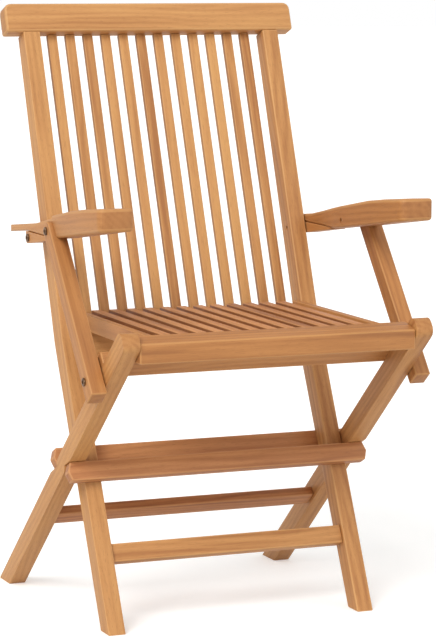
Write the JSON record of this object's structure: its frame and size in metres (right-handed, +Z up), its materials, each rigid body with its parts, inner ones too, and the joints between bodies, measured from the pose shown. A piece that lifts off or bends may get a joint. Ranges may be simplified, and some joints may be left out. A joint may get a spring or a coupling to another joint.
{
  "type": "folding armchair",
  "caption": "Folding slatted wooden armchair with a tall leaning back, crossed legs and arms on swinging supports.",
  "frame": {"origin": "on the floor at the centre of the open chair's box", "axes": "+Z up, -Y the way the sitter faces, +X to the sitter's left"},
  "size_m": [0.5346, 0.5506, 0.899],
  "materials": {
    "teak_frame": "sanded and oiled",
    "teak_slats": "sanded and oiled",
    "teak_arms": "sanded and oiled",
    "bolts": "dulled"
  },
  "bodies": {
    "back_frame": {"stile_right": "teak_frame", "stile_left": "teak_frame", "crossbar_front": "teak_frame", "crossbar_rear": "teak_frame", "front_stretcher": "teak_frame", "top_rail": "teak_frame", "lower_back_rail": "teak_frame", "back_slat_01": "teak_slats", "back_slat_02": "teak_slats", "back_slat_03": "teak_slats", "back_slat_04": "teak_slats", "back_slat_05": "teak_slats", "back_slat_06": "teak_slats", "back_slat_07": "teak_slats", "back_slat_08": "teak_slats", "back_slat_09": "teak_slats", "back_slat_10": "teak_slats", "back_slat_11": "teak_slats", "back_slat_12": "teak_slats"},
    "leg_frame": {"rear_leg_right": "teak_frame", "rear_leg_left": "teak_frame", "seat_support_bar": "teak_frame", "rear_stretcher": "teak_frame", "crossing_pin_right": "bolts", "crossing_pin_left": "bolts", "seat_pin_right": "bolts", "seat_pin_left": "bolts"},
    "seat": {"seat_front_rail": "teak_frame", "seat_rear_rail": "teak_frame", "seat_side_rail_right": "teak_frame", "seat_side_rail_left": "teak_frame", "seat_slat_01": "teak_slats", "seat_slat_02": "teak_slats", "seat_slat_03": "teak_slats", "seat_slat_04": "teak_slats", "seat_slat_05": "teak_slats", "seat_slat_06": "teak_slats", "seat_slat_07": "teak_slats", "seat_slat_08": "teak_slats", "seat_slat_09": "teak_slats", "seat_slat_10": "teak_slats", "seat_slat_11": "teak_slats", "seat_slat_12": "teak_slats"},
    "arm_right": {"arm_right": "teak_arms", "arm_cleat_right": "teak_arms", "arm_bolt_right": "bolts", "support_top_bolt_right": "bolts"},
    "support_right": {"arm_support_right": "teak_arms", "support_foot_bolt_right": "bolts"},
    "arm_left": {"arm_left": "teak_arms", "arm_cleat_left": "teak_arms", "arm_bolt_left": "bolts", "support_top_bolt_left": "bolts"},
    "support_left": {"arm_support_left": "teak_arms", "support_foot_bolt_left": "bolts"}
  },
  "joints": [
    {"name": "leg_fold", "type": "hinge", "parent": "back_frame", "child": "leg_frame", "pos_m": [0, -0.01351, 0.228], "axis": [-1, 0, 0], "range_deg": [0, 58]},
    {"name": "seat_fold", "type": "hinge", "parent": "leg_frame", "child": "seat", "pos_m": [0, -0.2546, 0.43537], "axis": [1, 0, 0], "range_deg": [0, 116]},
    {"name": "arm_right_fold", "type": "hinge", "parent": "back_frame", "child": "arm_right", "pos_m": [0, 0.12447, 0.552], "axis": [-1, 0, 0], "range_deg": [0, 67.1]},
    {"name": "support_right_fold", "type": "hinge", "parent": "arm_right", "child": "support_right", "pos_m": [0, -0.02973, 0.577], "axis": [1, 0, 0], "range_deg": [0, 91.3]},
    {"name": "arm_left_fold", "type": "hinge", "parent": "back_frame", "child": "arm_left", "pos_m": [0, 0.12447, 0.552], "axis": [-1, 0, 0], "range_deg": [0, 67.1]},
    {"name": "support_left_fold", "type": "hinge", "parent": "arm_left", "child": "support_left", "pos_m": [0, -0.02973, 0.577], "axis": [1, 0, 0], "range_deg": [0, 91.3]}
  ],
  "couplings": [
    {"joint": "seat_fold", "follows": "leg_fold", "ratio": 2},
    {"joint": "arm_right_fold", "follows": "leg_fold", "ratio": 1.1568},
    {"joint": "support_right_fold", "follows": "leg_fold", "ratio": 1.5732},
    {"joint": "arm_left_fold", "follows": "leg_fold", "ratio": 1.1568},
    {"joint": "support_left_fold", "follows": "leg_fold", "ratio": 1.5732}
  ]
}
